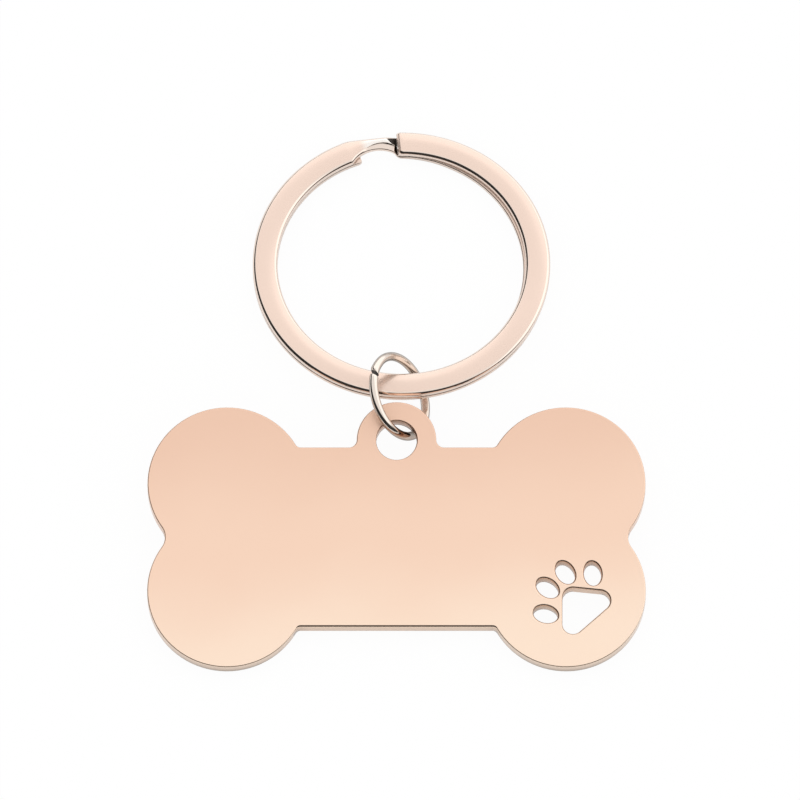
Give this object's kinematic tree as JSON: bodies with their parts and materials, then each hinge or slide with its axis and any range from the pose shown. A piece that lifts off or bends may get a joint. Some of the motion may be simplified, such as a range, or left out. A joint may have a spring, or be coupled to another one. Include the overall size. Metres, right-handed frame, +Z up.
{
  "type": "pet id tag",
  "caption": "Blank bone-shaped metal pet tag with a paw cut through one lobe, held by a jump ring on a flat two-turn split ring.",
  "frame": {"origin": "on the surface that the tag lies on, under the middle of the whole object's box", "axes": "+Z up from that surface, +Y from the bone towards the split ring, +X along the bone to the right"},
  "size_m": [0.05, 0.0588, 0.0073],
  "materials": {
    "rose_gold_plate": "polished, rose gold plated steel",
    "jump_wire": "polished, plated steel wire",
    "split_strip": "polished, plated spring steel strip"
  },
  "bodies": {
    "tag": {"bone_tag": "rose_gold_plate"},
    "jump_ring": {"jump_ring": "jump_wire"},
    "split_ring": {"split_ring": "split_strip"}
  },
  "joints": [
    {"name": "jump_swing", "type": "hinge", "parent": "tag", "child": "jump_ring", "pos_m": [0.0003, -0.00354, 0.00387], "axis": [1, 0, 0], "range_deg": [-25, 70]},
    {"name": "split_swing", "type": "hinge", "parent": "jump_ring", "child": "split_ring", "pos_m": [0.0003, 0.00065, 0.00315], "axis": [1, 0, 0], "range_deg": [-120, 120]}
  ]
}
